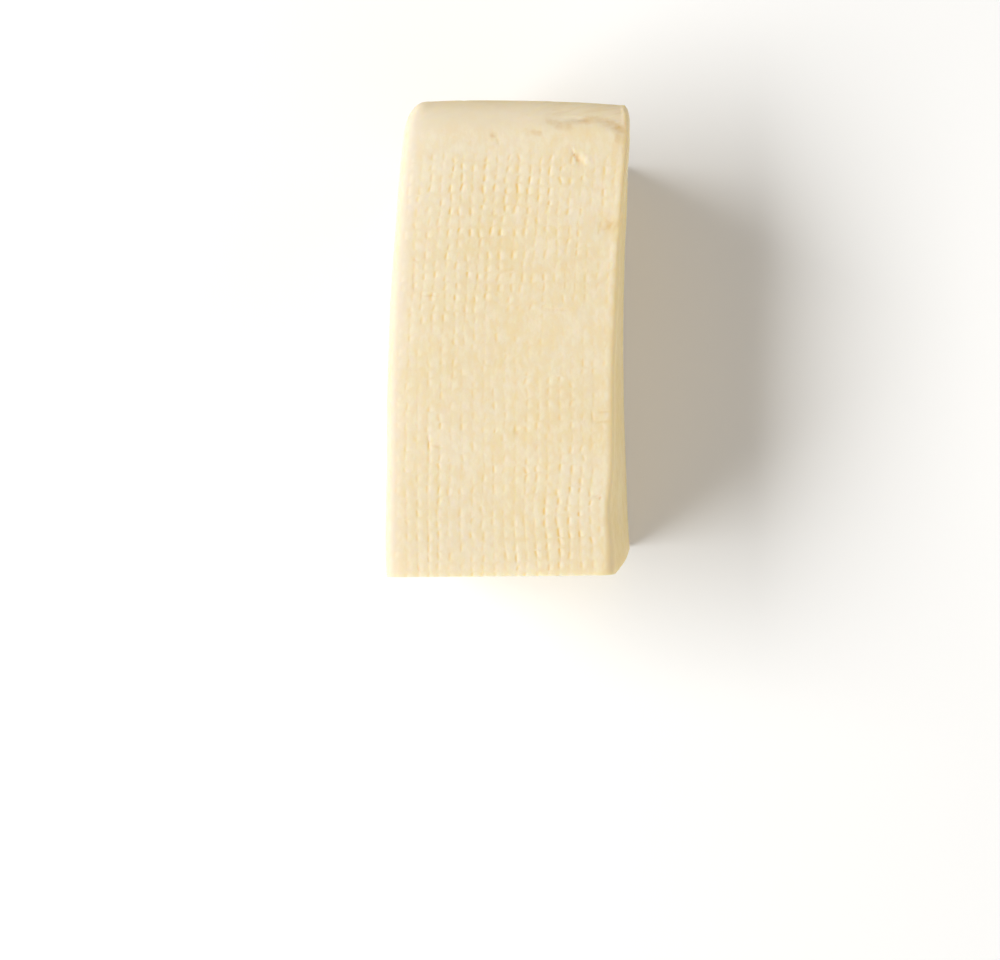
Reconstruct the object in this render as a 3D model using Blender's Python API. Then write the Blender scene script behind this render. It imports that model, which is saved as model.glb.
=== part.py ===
"""Block of pale pressed cheese with a cloth-marked skin, cut across with a knife at one end.

The block stands on its base. Metres, +Z up, the origin in the middle of the footprint.
The knife cut faces -Y and the pressed end +Y. The wall on +X leans out towards the foot,
as the wall of a pressing mould does, and the pressed end sweeps a little towards +X.
"""

import math

import bmesh
import bpy
import numpy as np
from mathutils import Euler, Matrix, Vector

# Overall size
LENGTH = 0.1516
HEIGHT = 0.081
WIDTH = 0.0842
TOP_WIDTH = 0.0716

# How the walls stray from a straight box
LEFT_TUCK = 0.0020
FOOT_WAIST = 0.0020
FOOT_WAIST_Y = 0.012
RIGHT_BULGE = 0.0013
TOP_EDGE_DENT = 0.0012
TOP_EDGE_DENT_Y = -0.055
TOP_EDGE_DENT_REACH = 0.009
SWEEP_START = -0.023
SWEEP_POWER = 1.5
LEFT_SWEEP = 0.0065
RIGHT_SWEEP = 0.0061
END_BOW = 0.0010
END_BOW_CENTRE_X = -0.008
END_TUCK = 0.0012
CUT_LEAN = 0.0045
CUT_TURN = 0.0008

# Reach of the rounding that each wall gives its edges
EDGE_POWER = 2.6
LEFT_REACH_CUT_END = 0.0055
LEFT_REACH_FAR_END = 0.0075
RIGHT_REACH_CUT_END = 0.0050
RIGHT_REACH_FAR_END = 0.0042
RIGHT_REACH_MIDDLE = 0.0028
# Share of the length over which the right edge's reach changes towards either end
RIGHT_REACH_FADE = 0.07
END_REACH_TOP = 0.0115
END_REACH_FOOT = 0.0050
FOOT_REACH = 0.0050
# Power that fades the relief from full on the skin to nothing inside
SKIN_POWER = 4
# Least value of a number that is divided by
TINY = 1e-9

# Slow swell of the skin: waves of random direction
SWELL_WAVES = 7
SWELL_HEIGHT = 0.00009
SWELL_LENGTH = (0.028, 0.070)
SWELL_SEED = 11
SWELL_FOOT_FADE = 0.010

# Cloth imprint: threads across and along the block, and how deep they pressed
THREADS_ACROSS = 21
THREADS_ALONG = 45
IMPRINT_DEPTH = 0.00035
IMPRINT_FAR_EDGE = 0.0590
IMPRINT_FAR_FADE = 0.0040
IMPRINT_MARGIN = 0.0060
IMPRINT_FAINTEST = 0.3
# Centre and reach of the areas where the cloth pressed deepest
DEEP_AREAS = (
    ((-0.002, 0.041), (0.030, 0.026)),
    ((-0.020, 0.016), (0.016, 0.014)),
    ((0.016, -0.062), (0.018, 0.024)),
)

# Features of the top
LIP_HEIGHT = 0.0002
LIP_REACH = 0.0026
LEDGE_DROP = 0.0006
LEDGE_Y = 0.0664
LEDGE_START_X = 0.004
LEDGE_FADE = 0.010
LEDGE_HALF_SLOPE = 0.001
GROOVE_CENTRE = (0.0300, 0.0339)
GROOVE_REACH = (0.0042, 0.0026)
GROOVE_DEPTH = 0.0009
HOLLOW_CENTRE = (-0.0012, -0.0305)
HOLLOW_REACH = (0.0026, 0.0030)
HOLLOW_DEPTH = 0.0004

# Small cuts in the top: centre, half sizes and turn about Z
PIT = ((0.0179, 0.0554), (0.0010, 0.0017, 0.0013), 0.35)
NICK = ((0.0247, -0.0505), (0.0019, 0.0005, 0.0009), -0.25)
CREASE = ((0.0262, -0.0269), (0.0032, 0.0004, 0.0008), 0.10)

# Eyes: the small openings that the knife laid bare
EYE_COUNT = 22
EYE_SEED = 5
EYE_RADIUS = (0.0004, 0.0011)
EYE_STRETCH = (1.0, 1.9)
EYE_DEPTH = 1.3
EYE_MARGIN = 0.006
EYE_SPACING = 0.007
CRACK_HALF_SIZE = (0.0034, 0.0009, 0.0003)
CRACK_PLACES = ((-0.012, 0.052, 0.25), (0.017, 0.031, -0.30))

# Divisions of the skin: two to a thread across, one to a thread along
ACROSS = 2 * THREADS_ACROSS
ALONG = THREADS_ALONG
LEVELS = 12

# How far a point may lie off a flat face and still belong to it
BASE_TOLERANCE = 1e-7
CUT_TOLERANCE = 0.0006
SHARP_ANGLE = math.radians(40)

CHEESE_COLOUR = (0.855, 0.715, 0.465, 1.0)
CHEESE_ROUGHNESS = 0.48
CHEESE_SCATTER = 0.2
CHEESE_SCATTER_DEPTH = 0.003


def clear_scene():
    for obj in list(bpy.data.objects):
        bpy.data.objects.remove(obj, do_unlink=True)


def new_collection(name):
    collection = bpy.data.collections.new(name)
    bpy.context.scene.collection.children.link(collection)
    return collection


def smooth_rise(value, start, end):
    """0 before start and 1 after end, with no kink between."""
    t = np.clip((value - start) / (end - start), 0, 1)
    return t * t * (3 - 2 * t)


def mound(x, y, centre, reach):
    """A round-topped mound of height 1 whose reach differs in X and Y."""
    return np.exp(-(((x - centre[0]) / reach[0]) ** 2) - ((y - centre[1]) / reach[1]) ** 2)


def sweep(y):
    """Sideways sweep of the pressed end: 0 up to SWEEP_START and 1 at the far end."""
    run = np.clip((y - SWEEP_START) / (LENGTH / 2 - SWEEP_START), 0, None)
    return run**SWEEP_POWER


def left_wall(y, z):
    return -WIDTH / 2 + LEFT_TUCK * (1 - z / HEIGHT) + LEFT_SWEEP * sweep(y)


def right_wall(y, z):
    """The wall runs from the foot line up to the line of the top edge.

    Halfway up it bulges, most at the knife cut and not at all at the far end.
    """
    foot = WIDTH / 2 - FOOT_WAIST * np.cos(math.pi * (y - FOOT_WAIST_Y) / LENGTH)
    dent = TOP_EDGE_DENT * np.exp(-(((y - TOP_EDGE_DENT_Y) / TOP_EDGE_DENT_REACH) ** 2))
    top = TOP_WIDTH - WIDTH / 2 + RIGHT_SWEEP * sweep(y) - dent
    share = z / HEIGHT
    bulge = RIGHT_BULGE * np.clip(0.5 - y / LENGTH, 0, 1) * 4 * share * (1 - share)
    return foot + (top - foot) * share + bulge


def cut_wall(x, z):
    """The plane of the knife cut, which leans and turns by about a degree."""
    return -LENGTH / 2 + CUT_LEAN * (1 - z / HEIGHT) + CUT_TURN * (x / WIDTH + 0.5)


def end_wall(x, z):
    bow = END_BOW * (2 * (x - END_BOW_CENTRE_X) / WIDTH) ** 2
    return LENGTH / 2 - bow - END_TUCK * (1 - z / HEIGHT)


def right_reach(along):
    """Reach of the right edge's rounding, small along the block and larger at both ends."""
    cut_end = (RIGHT_REACH_CUT_END - RIGHT_REACH_MIDDLE) * np.exp(-along / RIGHT_REACH_FADE)
    far_end = (RIGHT_REACH_FAR_END - RIGHT_REACH_MIDDLE) * np.exp((along - 1) / RIGHT_REACH_FADE)
    return RIGHT_REACH_MIDDLE + cut_end + far_end


def round_edges(across, along, up):
    """How far each wall's points move in to round the edges, and the nearness to each wall.

    A point's nearness to a wall is 1 on the wall and 0 at the reach of its rounding. Where a
    point is near several walls, its nearnesses are scaled down until their powers add up to
    the largest one's, which lays the points on a superellipse. The knife cut has no rounding.
    """
    reach = {
        "left": LEFT_REACH_CUT_END + (LEFT_REACH_FAR_END - LEFT_REACH_CUT_END) * along * up,
        "right": right_reach(along),
        "end": END_REACH_FOOT + (END_REACH_TOP - END_REACH_FOOT) * up,
    }
    depth = {
        "left": across * TOP_WIDTH,
        "right": (1 - across) * TOP_WIDTH,
        "end": (1 - along) * LENGTH,
    }
    near = {wall: np.clip(1 - depth[wall] / reach[wall], 0, None) for wall in reach}
    share = sum(near.values()) + TINY
    reach["top"] = sum(near[wall] * reach[wall] for wall in near) / share + TINY
    near["top"] = np.clip(1 - (1 - up) * HEIGHT / reach["top"], 0, None)
    reach["foot"] = FOOT_REACH
    near["foot"] = np.clip(1 - up * HEIGHT / FOOT_REACH, 0, None)

    total = sum(value**EDGE_POWER for value in near.values())
    largest = np.maximum.reduce(list(near.values()))
    scale = largest / np.maximum(total ** (1 / EDGE_POWER), TINY)
    shift = {wall: reach[wall] * near[wall] * (1 - scale) for wall in near}
    return shift, {wall: near[wall] * scale for wall in near}, reach


def outward(near, reach):
    """Unit normal of the rounded form, fading to nothing below the skin."""
    slope = {wall: near[wall] ** (EDGE_POWER - 1) / reach[wall] for wall in near}
    normal = np.stack(
        [slope["right"] - slope["left"], slope["end"], slope["top"] - slope["foot"]], axis=1
    )
    normal /= np.linalg.norm(normal, axis=1, keepdims=True) + TINY
    skin = np.maximum.reduce(list(near.values()))
    return normal * skin[:, None] ** SKIN_POWER


def swell(points):
    """Sum of a few sine waves of random direction, length and phase."""
    rng = np.random.default_rng(SWELL_SEED)
    height = np.zeros(len(points))
    for _ in range(SWELL_WAVES):
        direction = rng.normal(size=3)
        direction /= np.linalg.norm(direction)
        turns = points @ direction / rng.uniform(*SWELL_LENGTH)
        height += np.sin(2 * math.pi * (turns + rng.random()))
    return SWELL_HEIGHT * height


def imprint(x, y, across, along):
    """Plain weave pressed into the top: a dimple at every second crossing of the threads."""
    crossing = np.cos(math.pi * THREADS_ACROSS * across) * np.cos(math.pi * THREADS_ALONG * along)
    deepest = np.maximum.reduce([mound(x, y, *area) for area in DEEP_AREAS])
    strength = IMPRINT_FAINTEST + (1 - IMPRINT_FAINTEST) * deepest
    strength *= smooth_rise(IMPRINT_FAR_EDGE - y, 0, IMPRINT_FAR_FADE)
    strength *= smooth_rise(np.minimum(across, 1 - across) * TOP_WIDTH, 0, IMPRINT_MARGIN)
    return -IMPRINT_DEPTH * strength * np.clip(crossing, 0, None)


def top_features(x, y, across):
    """Raised lip on the right edge, the ledge of the rolled end, a groove and a hollow."""
    from_right = (1 - across) * TOP_WIDTH
    lip = LIP_HEIGHT * np.exp(-(((from_right - LIP_REACH) / LIP_REACH) ** 2))
    ledge = LEDGE_DROP * smooth_rise(x, LEDGE_START_X, LEDGE_START_X + LEDGE_FADE)
    ledge *= smooth_rise(y, LEDGE_Y - LEDGE_HALF_SLOPE, LEDGE_Y + LEDGE_HALF_SLOPE)
    groove = GROOVE_DEPTH * mound(x, y, GROOVE_CENTRE, GROOVE_REACH)
    hollow = HOLLOW_DEPTH * mound(x, y, HOLLOW_CENTRE, HOLLOW_REACH)
    return lip - ledge - groove - hollow


def block_form(across, along, up):
    """Points of the block from shares of its width, length and height, each 0 to 1."""
    shift, near, reach = round_edges(across, along, up)
    z = up * HEIGHT - shift["top"] + shift["foot"]
    middle = (across - 0.5) * WIDTH
    y = cut_wall(middle, z) * (1 - along) + end_wall(middle, z) * along - shift["end"]
    x = left_wall(y, z) * (1 - across) + right_wall(y, z) * across
    x += shift["left"] - shift["right"]
    points = np.stack([x, y, z], axis=1)
    normal = outward(near, reach)
    facing_up = np.clip(normal[:, 2], 0, None)
    relief = facing_up * (imprint(x, y, across, along) + top_features(x, y, across))
    relief += smooth_rise(z, 0, SWELL_FOOT_FADE) * swell(points)
    points += normal * relief[:, None]
    cut = along == 0
    points[cut, 1] = cut_wall(points[cut, 0], points[cut, 2])
    return centred(points)


def centred(points):
    """The points with the middle of their footprint's box moved to the origin."""
    middle = (points.min(axis=0) + points.max(axis=0)) / 2
    middle[2] = 0
    return points - middle


def split_cube():
    """A cube primitive cut into even divisions along each axis."""
    bm = bmesh.new()
    bmesh.ops.create_cube(bm, size=1.0)
    for axis, divisions in enumerate((ACROSS, ALONG, LEVELS)):
        edges = [e for e in bm.edges if abs(e.verts[0].co[axis] - e.verts[1].co[axis]) > 0.5]
        bmesh.ops.subdivide_edges(bm, edges=edges, cuts=divisions - 1, use_grid_fill=True)
    return bm


def merge_flat_faces(bm):
    """Makes one face of the flat part of the base, and one of the knife cut."""
    base = [f for f in bm.faces if all(v.co.z < BASE_TOLERANCE for v in f.verts)]
    bmesh.ops.dissolve_faces(bm, faces=base)
    bm.faces.ensure_lookup_table()
    cut = [
        f
        for f in bm.faces
        if all(abs(v.co.y - cut_wall(v.co.x, v.co.z)) < CUT_TOLERANCE for v in f.verts)
    ]
    bmesh.ops.dissolve_faces(bm, faces=cut)


def make_block(collection):
    bm = split_cube()
    share = np.array([v.co[:] for v in bm.verts]) + 0.5
    share = np.round(share, 6)
    up = (1 - np.cos(math.pi * share[:, 2])) / 2
    points = block_form(share[:, 0], share[:, 1], up)
    for vertex, point in zip(bm.verts, points):
        vertex.co = point
    merge_flat_faces(bm)
    mesh = bpy.data.meshes.new("cheese_block")
    bm.to_mesh(mesh)
    bm.free()
    mesh.shade_smooth()
    mesh.set_sharp_from_angle(angle=SHARP_ANGLE)
    block = bpy.data.objects.new("cheese_block", mesh)
    collection.objects.link(block)
    return block


def add_lump(bm, place, half_size, turn):
    """Adds one ellipsoid, a ball primitive placed, turned and stretched."""
    matrix = (
        Matrix.Translation(place)
        @ Euler(turn).to_matrix().to_4x4()
        @ Matrix.Diagonal(Vector((*half_size, 1)))
    )
    bmesh.ops.create_icosphere(bm, subdivisions=2, radius=1.0, matrix=matrix)


def eye_places():
    """Seeded places on the knife cut, kept apart from each other and from its edges."""
    rng = np.random.default_rng(EYE_SEED)
    taken = [np.array([x, z]) for x, z, _ in CRACK_PLACES]
    places = []
    while len(places) < EYE_COUNT:
        z = rng.uniform(EYE_MARGIN, HEIGHT - EYE_MARGIN)
        left = left_wall(-LENGTH / 2, z) + EYE_MARGIN
        right = right_wall(-LENGTH / 2, z) - EYE_MARGIN
        place = np.array([rng.uniform(left, right), z])
        if min(np.linalg.norm(place - other) for other in taken) > EYE_SPACING:
            places.append(place)
            taken.append(place)
    return places


def make_eyes(collection):
    """Cutter for the eyes and cracks of the knife cut."""
    rng = np.random.default_rng(EYE_SEED)
    bm = bmesh.new()
    for x, z in eye_places():
        radius = rng.uniform(*EYE_RADIUS)
        half_size = (radius * rng.uniform(*EYE_STRETCH), radius * EYE_DEPTH, radius)
        turn = (0, rng.uniform(0, math.pi), 0)
        add_lump(bm, (x, cut_wall(x, z), z), half_size, turn)
    for x, z, tilt in CRACK_PLACES:
        add_lump(bm, (x, cut_wall(x, z), z), CRACK_HALF_SIZE, (0, tilt, 0))
    return cutter_object("eyes", bm, collection)


def make_top_marks(collection):
    """Cutter for the pit, the nick and the crease in the top."""
    bm = bmesh.new()
    for (x, y), half_size, turn in (PIT, NICK, CREASE):
        add_lump(bm, (x, y, HEIGHT), half_size, (0, 0, turn))
    return cutter_object("top_marks", bm, collection)


def cutter_object(name, bm, collection):
    mesh = bpy.data.meshes.new(name)
    bm.to_mesh(mesh)
    bm.free()
    cutter = bpy.data.objects.new(name, mesh)
    cutter.hide_render = True
    cutter.display_type = "WIRE"
    collection.objects.link(cutter)
    return cutter


def cut_away(block, cutter):
    modifier = block.modifiers.new(cutter.name, "BOOLEAN")
    modifier.operation = "DIFFERENCE"
    modifier.solver = "EXACT"
    modifier.object = cutter


def cheese_material():
    """Smooth, dense, slightly translucent pale yellow cheese."""
    material = bpy.data.materials.new("cheese")
    material.use_nodes = True
    shader = material.node_tree.nodes["Principled BSDF"]
    shader.inputs["Base Color"].default_value = CHEESE_COLOUR
    shader.inputs["Roughness"].default_value = CHEESE_ROUGHNESS
    shader.inputs["Metallic"].default_value = 0.0
    shader.inputs["Subsurface Weight"].default_value = CHEESE_SCATTER
    shader.inputs["Subsurface Scale"].default_value = CHEESE_SCATTER_DEPTH
    return material


def main():
    clear_scene()
    parts = new_collection("cheddar block")
    cutters = new_collection("cutters")
    block = make_block(parts)
    block.data.materials.append(cheese_material())
    cut_away(block, make_eyes(cutters))
    cut_away(block, make_top_marks(cutters))


main()
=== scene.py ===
"""Block of pale pressed cheddar with a cloth-marked skin, on a plain studio floor.

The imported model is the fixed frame. The block is made again as one fine closed surface of the
same form and takes the solid's place: a sheet for the top, a band for the walls and the knife
cut, and a sheet for the base. Metres, +Z up, the knife cut faces -Y.
"""

import math

import bpy
import numpy as np
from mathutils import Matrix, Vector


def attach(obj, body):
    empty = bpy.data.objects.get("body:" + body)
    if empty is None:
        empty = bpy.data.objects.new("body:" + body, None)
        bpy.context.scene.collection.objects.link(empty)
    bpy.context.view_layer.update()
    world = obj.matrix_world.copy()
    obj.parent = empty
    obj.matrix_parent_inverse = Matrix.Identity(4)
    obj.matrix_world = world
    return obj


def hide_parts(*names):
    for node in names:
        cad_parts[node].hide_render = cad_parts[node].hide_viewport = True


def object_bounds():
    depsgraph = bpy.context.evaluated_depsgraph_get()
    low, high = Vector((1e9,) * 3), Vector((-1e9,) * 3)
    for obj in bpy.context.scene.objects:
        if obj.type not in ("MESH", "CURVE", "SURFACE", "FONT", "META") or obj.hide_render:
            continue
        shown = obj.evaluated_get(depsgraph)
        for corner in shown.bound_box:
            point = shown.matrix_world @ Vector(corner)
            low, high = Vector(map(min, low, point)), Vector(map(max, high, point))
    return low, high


bl_info = {
    "name": "Cheddar block",
    "version": (1, 0, 0),
    "blender": (4, 5, 0),
    "location": "3D View > Sidebar > Cheddar",
    "description": "Makes a block of pressed cheddar and a plain studio around it",
    "category": "Add Mesh",
}

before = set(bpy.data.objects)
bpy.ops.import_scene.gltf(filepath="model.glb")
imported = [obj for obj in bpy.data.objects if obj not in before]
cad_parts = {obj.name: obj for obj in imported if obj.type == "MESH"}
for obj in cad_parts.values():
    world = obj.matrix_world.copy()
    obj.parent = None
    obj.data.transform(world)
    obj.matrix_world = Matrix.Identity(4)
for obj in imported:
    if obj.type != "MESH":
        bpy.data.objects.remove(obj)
CAD_BOX = [list(corner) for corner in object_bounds()]
MM = 0.001
TINY = 1e-9

# How the walls stray from a straight box
LEFT_TUCK = 2.0 * MM
FOOT_WAIST = 2.0 * MM
FOOT_WAIST_Y = 12.0 * MM
TOP_EDGE_DENT = 1.2 * MM
TOP_EDGE_DENT_Y = -55.0 * MM
TOP_EDGE_DENT_REACH = 9.0 * MM
RIGHT_BULGE = 1.3 * MM
SWEEP_START = -23.0 * MM
SWEEP_POWER = 1.5
LEFT_SWEEP = 6.5 * MM
RIGHT_SWEEP = 6.1 * MM
END_BOW = 1.0 * MM
END_BOW_CENTRE_X = -8.0 * MM
END_TUCK = 1.2 * MM
CUT_LEAN = 4.5 * MM
CUT_TURN = 0.8 * MM

# Reach of the rounding that each wall gives its edges: the least and the greatest, but the
# right wall's at the knife cut, along the middle and at the far end
EDGE_POWER = 2.6
LEFT_REACH = (5.5 * MM, 7.5 * MM)
RIGHT_REACH = (5.0 * MM, 2.0 * MM, 3.6 * MM)
RIGHT_REACH_FADE = 0.07
END_REACH = (5.0 * MM, 11.5 * MM)
FOOT_REACH = 5.0 * MM
KNIFE_EDGE = 0.3 * MM
# The relief fades as this power of the nearness, and the swell is whole from this one on
SKIN_POWER = 4
SWELL_FULL = 0.6

# Grid lines within one thread, close together at the slits that the threads pressed
COLUMN_STEPS = (0.0, 0.07, 0.15, 0.25, 0.40, 0.60, 0.78, 0.90)
ROW_STEPS = (0.0, 0.12, 0.30, 0.50, 0.70, 0.88)
RIM_STEPS = (0.03, 0.07)
LEVELS = 68
LEVEL_CROWDING = 0.45

# Slow swell of the skin: waves of random direction
SWELL_WAVES = 7
SWELL_HEIGHT = 0.09 * MM
SWELL_LENGTH = (28 * MM, 70 * MM)
SWELL_SEED = 11
SWELL_FOOT_FADE = 10 * MM

# How far the threads stray, in threads: height, length across and along, and start of waves
WARP_SEED = 3
STRAY_SIDEWAYS = ((0.07, 9.3, 41, 0.1), (0.04, 4.3, -29, 0.6))
STRAY_LENGTHWAYS = ((0.14, 29, 13, 0.3),)
SHIFT_SIDEWAYS = 0.06
SHIFT_LENGTHWAYS = 0.22
STRAY_FADE = 2

# Cloth imprint
IMPRINT_SEED = 8
IMPRINT_FAR_EDGE = 59.0 * MM
IMPRINT_FAR_FADE = 4.0 * MM
IMPRINT_MARGIN = 6.0 * MM
# Places and widths in threads: slit, painted amber shade in the slit, ridge and its paleness,
# partly a dry crest and partly a painted highlight on its lit side, and the dash across
SLIT_HALF_WIDTH = 0.12
SLIT_SHADE_PLACE = -0.02
SLIT_SHADE_HALF_WIDTH = 0.13
RIDGE_PLACE = 0.27
RIDGE_HALF_WIDTH = 0.15
PALE_AND_HIGHLIGHT_HALF_WIDTH = 0.19
DASH_PLACE = 0.5
DASH_RIDGE_PLACE = 0.7
DASH_HALF_WIDTH = 0.22
COLUMN_EDGE = 0.14
ROW_EDGE = 0.22
# Strengths are gamma distributed, and each slit strays in place, lean and length
SLIT_GAMMA = (2.4, 0.38)
STRONGEST_SLIT = 1.45
DASH_GAMMA = (0.8, 0.75)
RUN_GAMMA = (3.0, 0.33)
SECOND_ROW_SHARE = 0.14
SLIT_STRAY = 0.13
SLIT_DRIFT = 0.26
SLIT_LEAN = 0.13
SLIT_HALF_LENGTH = (0.27, 0.47)
# Shares of the relief and of the colour: painted shade, and paleness with painted highlight
RIDGE_SHARE = 0.50
GROOVE_SHARE = 0.06
DASH_SHARE = 0.14
DASH_RIDGE_SHARE = 0.4
PAINTED_SHADE_SHARE = 0.80
PALE_AND_HIGHLIGHT_SHARE = 1.35
# What a furrow adds in depth, painted shade and paleness with painted highlight, and how much of
# it is left between beads
FURROW_DEPTH = 0.40
FURROW_SHADE = 0.32
FURROW_PALE_AND_HIGHLIGHT = 0.38
BETWEEN_BEADS = 0.22
BEAD = (0.50, 0.15)
# Centre, reach and strength of the areas where the cloth pressed deeper than elsewhere
DEEP_AREAS = (
    ((-4, 42), (27, 18), 1.00),
    ((20, 46), (12, 14), 0.55),
    ((-20, 16), (15, 11), 0.80),
    ((2, -20), (22, 14), 0.25),
    ((-8, -52), (12, 9), 0.45),
    ((-28, -48), (6, 26), 0.60),
    ((12, -60), (20, 19), 0.88),
    ((-12, -72), (30, 5), 0.48),
)
FAINTEST = 0.42
# Centre and reach of patches that the cloth hardly touched, and how bare they are
BARE_PATCHES = (
    ((-1.5, -52.5), (6.5, 5.5)),
    ((19, 6), (8, 7)),
    ((22, 34), (4, 7)),
    ((4, 4), (6, 3)),
)
BARENESS = 0.85
# Centre, reach and strength of areas where the slits run together into furrows
FURROW_AREAS = (
    ((11, -60), (17, 15), 0.75),
    ((-3, -75), (40, 6), 0.30),
    ((-29, -50), (4.5, 26), 1.0),
    ((0, 49), (17, 8), 0.35),
)

# Raised lip on the right edge: distance from the edge and height, at the places along Y
LIP_Y = (-76, -50, -20, 0, 30, 50, 66, 76)
LIP_FROM_EDGE = (3.4, 3.2, 3.0, 2.8, 2.2, 1.8, 2.2, 2.6)
LIP_HEIGHT_SHARE = (0.8, 0.7, 0.9, 0.9, 1.0, 0.8, 0.2, 0.0)
LIP_HALF_WIDTH = 1.5 * MM

# Ledge of the rolled end, scalloped towards +Y
LEDGE_Y = 66.2 * MM
LEDGE_START = (4.0 * MM, 14.0 * MM)
LEDGE_HALF_SLOPE = 2.6 * MM
# Place beyond the ledge, half width and depth of the gutter at its foot
GUTTER = (0.8 * MM, 0.9 * MM, 0.02 * MM)
# Where the ledge falls back at the right, in mm, and how far
LEDGE_FALL_X = (27, 36)
LEDGE_FALL = 4.5
# The skin counts as rolled from here to here, measured from the ledge
ROLLED_SPAN = (-5.5 * MM, 0.6 * MM)
# Lengths and heights of the waves that make the ledge's line uneven
LEDGE_WAVES = ((4.6, 0.22, 0.4), (8.3, 0.30, 2.0), (19.5, 0.55, 1.1))
# Tan smudges where the skin folded, which also paint the shade of the ledge's step and of the dent
# near the right edge, in mm and degrees: centre, half sizes, turn, strength
FOLD_TAN_AND_SHADE_SPOTS = (
    ((10.6, 66.7), (3.2, 1.5), -16, 0.55),
    ((14.2, 65.6), (3.2, 1.7), -4, 0.85),
    ((18.2, 66.8), (3.0, 1.5), 14, 0.62),
    ((21.7, 68.0), (2.6, 1.9), 24, 0.80),
    ((25.0, 67.6), (2.8, 1.7), -12, 0.70),
    ((28.2, 66.5), (2.8, 1.9), -22, 0.85),
    ((31.0, 64.9), (2.8, 2.1), -32, 1.00),
    ((32.0, 62.4), (2.4, 3.4), 0, 0.75),
    ((4.8, 63.4), (3.0, 1.3), -6, 0.60),
    ((0.4, 64.0), (3.6, 1.5), 4, 0.35),
    ((2.2, 69.2), (3.4, 1.4), -10, 0.32),
    ((-8.0, 62.6), (1.3, 1.2), -20, 0.45),
    ((31.8, 57.6), (1.8, 4.0), 0, 0.40),
    ((30.2, 34.6), (4.2, 2.6), 2, 0.50),
    ((16.0, 69.8), (9.0, 1.3), 8, 0.38),
    ((24.0, 71.6), (8.0, 1.1), 12, 0.35),
)

# Marks in the top, in mm and degrees: centre, half sizes, turn, depth
TOP_MARKS = (
    ((29.4, 34.2), (4.6, 3.2), 2, 0.30),
    ((26.4, -26.9), (3.3, 0.42), 5, 0.34),
    ((27.2, -23.8), (2.6, 0.40), 1, 0.22),
    ((23.0, -25.6), (0.5, 1.6), 0, 0.16),
    ((24.2, -50.4), (1.8, 0.36), -22, 0.22),
    ((25.2, -51.0), (0.45, 0.55), 10, 0.20),
    ((-1.1, -30.4), (0.80, 0.95), 15, 0.28),
    ((0.4, -29.4), (1.3, 0.35), 40, 0.20),
    ((-28.4, -33.6), (0.35, 2.2), 4, 0.22),
    ((-25.8, -34.6), (2.4, 0.38), -18, 0.16),
    ((-8.2, 62.4), (1.1, 0.8), -20, 0.30),
    ((-6.7, 61.0), (0.45, 1.2), 15, 0.22),
    ((4.6, 63.4), (2.6, 0.8), 8, 0.22),
    ((-3.0, 20.6), (3.0, 0.30), 12, 0.12),
    ((11.6, 8.0), (3.4, 0.35), -4, 0.12),
    ((12.8, 61.6), (1.6, 0.6), 5, 0.10),
    ((30.9, 20.5), (2.4, 0.5), 8, 0.20),
    ((-33.0, 17.0), (0.5, 3.2), 6, 0.16),
    ((-27.8, 12.4), (2.6, 0.35), 3, 0.26),
)
# The pit, in mm: lean, half length, its steep side and its slope from start to end
PIT_CENTRE = (17.9, 55.3)
PIT_DEPTH = 0.44
PIT_LEAN = 0.35
PIT_HALF_LENGTH = 1.55
PIT_STEEP_SIDE = (-1.05, -0.1)
PIT_SLOPE = (0.15, 2.1)
# What lies round the pit, in mm: centre, reach and depth of its tail, flake and chip
PIT_BITS = (
    ((-0.5, 1.9), (0.35, 1.3), 0.35),
    ((2.6, -0.2), (1.2, 1.5), -0.40),
    ((-0.05, 2.3), (0.4, 0.7), -0.30),
)

# Fine slanted wrinkles of the rolled end, in mm and degrees, each drawn between these limits:
# X and Y of its centre, half length, half width, turn and depth
WRINKLES = 34
WRINKLE_SEED = 21
WRINKLE_LIMITS = ((-32, 33), (67.5, 74.5), (1.6, 4.5), (0.30, 0.6), (2, 24), (0.08, 0.19))
# Their depths' shares to the left and to the right of this place
WRINKLE_CHANGE_X = 8
WRINKLE_SHARES = (0.7, 1.5)
WRINKLE_RIDGE_SHARE = 0.6

# Creases and dimples of the walls, in mm and degrees
WALL_TOP_FADE = 9 * MM
CREASES = 60
CREASE_SEED = 14
CREASE_Z = (6, 76)
CREASE_HALF_SIZES = ((2.5, 9), (0.8, 1.5))
CREASE_DEPTH = (0.12, 0.36)
CREASE_TURN_SPREAD = 28
UPRIGHT_SHARE = 0.3
CREASE_RIDGE_SHARE = 0.7
CREASE_RIDGE_STRETCH = (1.2, 1.6)
DIMPLES = 110
DIMPLE_Z = (5, 78)
DIMPLE_HALF_WIDTH = (0.8, 1.6)
DIMPLE_DEPTH = (0.12, 0.42)

# Unevenness of the knife cut: the drag of the knife, and a slow swell as a wave along X and Z
DRAG_HEIGHT = 0.05 * MM
DRAG_LENGTH = 19 * MM
DRAG_WANDER = (0.35, 16 * MM)
CUT_SWELL_HEIGHT = 0.10 * MM
CUT_SWELL = ((0.5, 47 * MM, 83 * MM, 0.2),)
CUT_RIM = (1.5 * MM, 9 * MM)

# Where the skin's colours lie: nearness to the right wall, depth below the top, or distance
# Yellower walls from just below the top, partly their own colour and partly painted warm light on
# the shaded right wall; the yellow that reaches onto the right edge's rounding is painted light
# filling its shade
SIDE_BELOW_TOP = (0.1 * MM, 3 * MM)
SIDE_GLOW_NEARNESS = (0.1, 0.7)
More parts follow.
